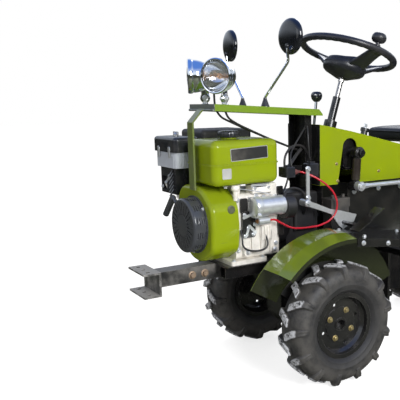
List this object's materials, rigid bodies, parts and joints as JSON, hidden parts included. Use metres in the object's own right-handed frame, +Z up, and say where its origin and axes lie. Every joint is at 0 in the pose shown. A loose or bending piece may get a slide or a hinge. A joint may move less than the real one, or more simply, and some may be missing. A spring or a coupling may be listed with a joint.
{
  "type": "articulated mini tractor",
  "caption": "Small four-wheel tractor hinged in the middle, with an open engine, tray, console, seat and a pin bracket at each end.",
  "frame": {"origin": "on the ground, at the middle of the length and width", "axes": "+X to the machine's left, +Y to its rear, +Z up"},
  "size_m": [0.69, 1.8, 1.212],
  "materials": {
    "green_paint": "glossy lime green paint",
    "black_paint": "satin black paint",
    "cast_metal": "raw cast aluminium",
    "zinc_plate": "bright zinc plate",
    "chrome": "bright chrome plate",
    "black_plastic": "moulded black plastic",
    "grey_plastic": "moulded dark grey plastic",
    "red_cable": "smooth red cable sheath",
    "black_cable": "smooth black cable sheath",
    "seat_vinyl": "black vinyl with stitching",
    "tyre_rubber": "black rubber, dusty on the lugs"
  },
  "bodies": {
    "front_half": {"front_frame": "black_paint", "front_beam": "black_paint", "front_bracket": "black_paint", "front_axle": "black_paint", "gearbox": "black_paint", "crankcase": "cast_metal", "cylinder": "cast_metal", "fan_housing": "green_paint", "recoil_starter": "black_plastic", "fuel_tank": "green_paint", "air_cleaner_cover": "black_plastic", "air_cleaner_box": "cast_metal", "carburettor": "black_paint", "muffler": "black_paint", "starter_motor": "zinc_plate", "starter_cable": "red_cable", "hood_tray": "green_paint", "front_post": "green_paint", "rear_post": "black_paint", "headlamp_left": "chrome", "headlamp_right": "chrome", "mirror_left": "black_plastic", "mirror_right": "black_plastic", "console": "green_paint", "tunnel": "black_paint", "steering_column": "zinc_plate", "column_sleeve": "black_paint", "steering_box": "black_paint", "gear_lever": "black_plastic", "ignition_switch": "black_plastic", "lamp_cable_left": "black_cable", "lamp_cable_right": "black_cable", "pedal_left": "zinc_plate", "pedal_right": "zinc_plate", "fender_front_left": "green_paint", "fender_front_right": "green_paint", "footboard_left": "black_paint", "footboard_right": "black_paint", "battery": "grey_plastic"},
    "rear_half": {"rear_frame": "black_paint", "rear_axle": "black_paint", "rear_bracket": "black_paint", "seat_pedestal": "black_paint", "seat": "seat_vinyl", "fender_rear_left": "green_paint", "fender_rear_right": "green_paint"},
    "wheel_front_left": {"tyre_front_left": "tyre_rubber", "rim_front_left": "black_paint"},
    "wheel_front_right": {"tyre_front_right": "tyre_rubber", "rim_front_right": "black_paint"},
    "wheel_rear_left": {"tyre_rear_left": "tyre_rubber", "rim_rear_left": "black_paint"},
    "wheel_rear_right": {"tyre_rear_right": "tyre_rubber", "rim_rear_right": "black_paint"},
    "steering": {"steering_wheel": "black_plastic"},
    "arm": {"drop_arm": "black_paint"},
    "link": {"drag_link": "zinc_plate"}
  },
  "joints": [
    {"name": "wheel_front_left_spin", "type": "hinge", "parent": "front_half", "child": "wheel_front_left", "pos_m": [0.2735, -0.3, 0.213], "axis": [1, 0, 0], "continuous": true},
    {"name": "wheel_front_right_spin", "type": "hinge", "parent": "front_half", "child": "wheel_front_right", "pos_m": [-0.2735, -0.3, 0.213], "axis": [1, 0, 0], "continuous": true},
    {"name": "wheel_rear_left_spin", "type": "hinge", "parent": "rear_half", "child": "wheel_rear_left", "pos_m": [0.2735, 0.6, 0.213], "axis": [1, 0, 0], "continuous": true},
    {"name": "wheel_rear_right_spin", "type": "hinge", "parent": "rear_half", "child": "wheel_rear_right", "pos_m": [-0.2735, 0.6, 0.213], "axis": [1, 0, 0], "continuous": true},
    {"name": "frame_hinge", "type": "hinge", "parent": "front_half", "child": "rear_half", "pos_m": [0, 0.15, 0.28], "axis": [0, 0, 1], "range_deg": [-30, 30]},
    {"name": "steering_turn", "type": "hinge", "parent": "front_half", "child": "steering", "pos_m": [0, -0.114, 0.88], "axis": [0, 0.3074, 0.9516], "range_deg": [-361, 361]},
    {"name": "drop_arm_swing", "type": "hinge", "parent": "front_half", "child": "arm", "pos_m": [0.121, -0.085, 0.772], "axis": [1, 0, 0], "range_deg": [-37, 37]},
    {"name": "drag_link_swing", "type": "hinge", "parent": "arm", "child": "link", "pos_m": [0.146, -0.093, 0.652], "axis": [1, 0, 0], "range_deg": [-37, 37]}
  ],
  "couplings": [
    {"joint": "steering_turn", "follows": "frame_hinge", "ratio": -12},
    {"joint": "drop_arm_swing", "follows": "frame_hinge", "ratio": 1.2},
    {"joint": "drag_link_swing", "follows": "frame_hinge", "ratio": -1.2}
  ]
}
